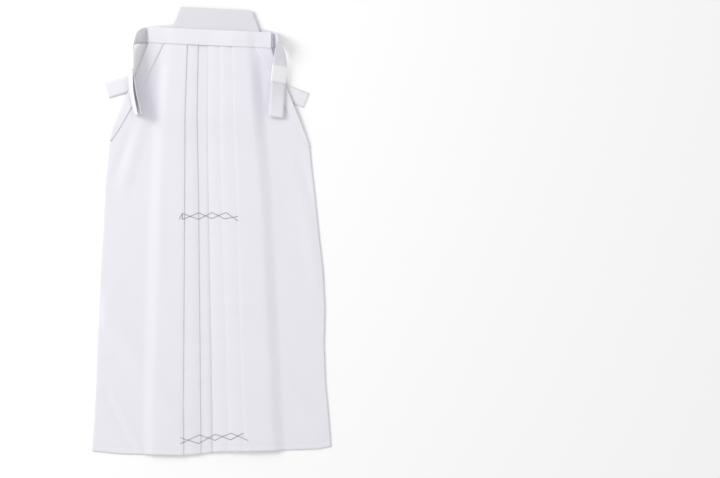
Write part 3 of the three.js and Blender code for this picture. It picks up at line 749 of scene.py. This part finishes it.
def stitched(name, lines, spacing, length, radius, material):
    vertices, edges = [], []
    for line in lines:
        first = len(vertices)
        vertices += [tuple(np.array(point) * MM) for point in line]
        edges += [(n, n + 1) for n in range(first, len(vertices) - 1)]
    guide = bpy.data.meshes.new(name + "_guide")
    guide.from_pydata(vertices, edges, [])
    carrier = bpy.data.objects.new(name + "_guide", guide)
    bpy.context.scene.collection.objects.link(carrier)
    modifier = carrier.modifiers.new("stitches", "NODES")
    modifier.node_group = STITCHES
    wanted = {"Spacing": spacing * MM, "Stitch length": length * MM, "Thread radius": radius * MM,
              "Material": material}
    for item in STITCHES.interface.items_tree:
        if item.item_type == "SOCKET" and item.in_out == "INPUT" and item.name in wanted:
            modifier[item.identifier] = wanted[item.name]
    bpy.context.view_layer.update()
    evaluated = carrier.evaluated_get(bpy.context.evaluated_depsgraph_get())
    mesh = bpy.data.meshes.new_from_object(evaluated)
    mesh.name = name
    bpy.data.objects.remove(carrier)
    if "cloth" not in mesh.uv_layers:
        mesh.uv_layers.new(name="cloth")
    if not mesh.materials:
        mesh.materials.append(material)
    piece = bpy.data.objects.new(name, mesh)
    bpy.context.scene.collection.objects.link(piece)
    print(f"{name}: {len(mesh.polygons)} faces")
    return piece


def top_line(points, rise=0.15, steps=40):
    line = []
    for (x0, d0), (x1, d1) in zip(points, points[1:]):
        for n in range(steps):
            x, drop = mix(x0, x1, n / steps), mix(d0, d1, n / steps)
            line.append(place(x, drop, front_z(x, drop) + rise))
    return line


hem_lines = [top_line([(column(FRONT, "left", 936) + 6, 936.5), (-68, 936.5)]),
             top_line([(82, 936.5), (column(FRONT, "right", 936) - 6, 936.5)])]
hem_stitches = stitched("hem_stitches", hem_lines, 9.0, 2.2, 0.2, STITCH_WHITE)

# %% [markdown]
# Two rows of grey basting thread hold the pleats in their folds. In each row two threads zigzag
# against each other into diamonds. A thread is a thin tube on the cloth along a short list of points.

# %% Basting threads
BASTING = {
    "upper": ([(-68, 390), (-68, 404), (-30, 389), (0, 403), (34, 389), (63, 409)],
              [(-75, 404), (-68, 390), (-31, 404), (1, 389), (30, 404), (63, 397)]),
    "lower": ([(-72, 908), (-30, 925), (8, 908), (44, 922), (76, 905)],
              [(-72, 922), (-29, 905), (8, 922), (45, 906), (87, 924)]),
}


def tube(name, lines, radius, material, sides=6):
    points, faces = [], []
    for line in lines:
        path = np.array(line)
        forward = np.gradient(path, axis=0)
        forward /= np.linalg.norm(forward, axis=1, keepdims=True)
        sideways = np.cross(forward, (0, 0, 1))
        sideways /= np.linalg.norm(sideways, axis=1, keepdims=True)
        up = np.cross(sideways, forward)
        first = len(points)
        for centre, s, u in zip(path, sideways, up):
            for k in range(sides):
                a = 2 * math.pi * k / sides
                points.append(centre + radius * (math.cos(a) * s + math.sin(a) * u))
        for n in range(len(path) - 1):
            for k in range(sides):
                m = (k + 1) % sides
                low = first + n * sides
                faces.append((low + k, low + sides + k, low + sides + m, low + m))
        last = first + (len(path) - 1) * sides
        for k in (1, 3):
            faces.append((first, first + k, first + k + 1, first + (k + 2) % sides))
            faces.append((last + (k + 2) % sides, last + k + 1, last + k, last))
    return new_piece(name, np.array(points), faces, [(0, 0)] * len(points), material)


basting = {}
for row, threads in BASTING.items():
    lines = [top_line(points, 0.42, 26) for points in threads]
    basting[row] = tube(f"basting_{row}", lines, 0.55, THREAD_GREY)

# %% [markdown]
# Every piece rides on the one body. Each solid has the piece that stands for it, and the solid is hidden.
# The leaves, hem stitches and basting threads stand for no solid. The width, length and area that each
# cloth piece's grid measures are printed when the piece is made.

def declare(made, nodes):
    piece, area, flat = made
    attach(piece, "root")
    if nodes:
        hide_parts(*nodes)


floor_mesh = bpy.data.meshes.new("surface")
FLOOR_REACH, FLOOR_Z = 6, -0.0004
floor_mesh.from_pydata([(x * FLOOR_REACH, y * FLOOR_REACH, FLOOR_Z)
                        for x, y in ((-1, -1), (1, -1), (1, 1), (-1, 1))], [], [(0, 1, 2, 3)])
surface = bpy.data.objects.new("surface", floor_mesh)
bpy.context.scene.collection.objects.link(surface)
pale = bpy.data.materials.new("pale_surface")
pale.use_nodes = True
pale.node_tree.nodes["Principled BSDF"].inputs["Base Color"].default_value = (0.96, 0.96, 0.96, 1)
pale.node_tree.nodes["Principled BSDF"].inputs["Roughness"].default_value = 1.0
pale.node_tree.nodes["Principled BSDF"].inputs["Specular IOR Level"].default_value = 0.0
floor_mesh.materials.append(pale)

declare(back_right, ["back_right"])
declare(back_left, ["back_left"])
declare(front_right, ["front_right"])
declare(front_left, ["front_left"])
declare(leaf_right, [])
declare(leaf_left, [])
declare(gusset_right, ["gusset_right"])
declare(gusset_left, ["gusset_left"])
declare(band, ["waistband"])
declare(front_tie_left, ["front_tie_left"])
declare(front_tie_right, ["front_tie_right"])
declare(back_tie_right, ["back_tie_right"])
declare(back_tie_left, ["back_tie_left"])
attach(board, "root")
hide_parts("waist_board")
for ring, node in ((paper_right, "paper_band_right"), (paper_left, "paper_band_left"),
                   (paper_back, "paper_band_back")):
    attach(ring, "root")
    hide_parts(node)
for extra in (hem_stitches, *basting.values()):
    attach(extra, "root")

# %% [markdown]
# The garment lies on a pale surface under broad soft light from the upper left, and the camera looks
# straight down at it from far off, with the garment in the left half of the view.

# %% Light and camera
def soft_light(name, place_at, size, power):
    data = bpy.data.lights.new(name, "AREA")
    data.size, data.energy = size, power
    lamp = bpy.data.objects.new(name, data)
    lamp.location = place_at
    aim = np.array((0.0, 0.0, 0.0)) - np.array(place_at)
    yaw, pitch = math.atan2(aim[1], aim[0]), math.atan2(math.hypot(aim[0], aim[1]), -aim[2])
    lamp.rotation_euler = (pitch, 0, yaw - math.pi / 2)
    bpy.context.scene.collection.objects.link(lamp)


soft_light("key", (-2.6, 1.4, 2.2), 1.6, 62)
world = bpy.data.worlds.new("soft_room")
world.use_nodes = True
world.node_tree.nodes["Background"].inputs["Color"].default_value = (1, 1, 1, 1)
world.node_tree.nodes["Background"].inputs["Strength"].default_value = 0.80
bpy.context.scene.world = world
bpy.context.scene.view_settings.view_transform = "Standard"

VIEW_WIDTH = 1.6765        # metres across the view at the surface
VIEW_CENTRE = (0.3452, -0.0183)
CAMERA_HEIGHT = 5.0
camera_data = bpy.data.cameras.new("camera")
camera_data.sensor_width = 36
camera_data.lens = 36 * CAMERA_HEIGHT / VIEW_WIDTH
camera = bpy.data.objects.new("camera", camera_data)
camera.location = (*VIEW_CENTRE, CAMERA_HEIGHT)
bpy.context.scene.collection.objects.link(camera)
bpy.context.scene.camera = camera
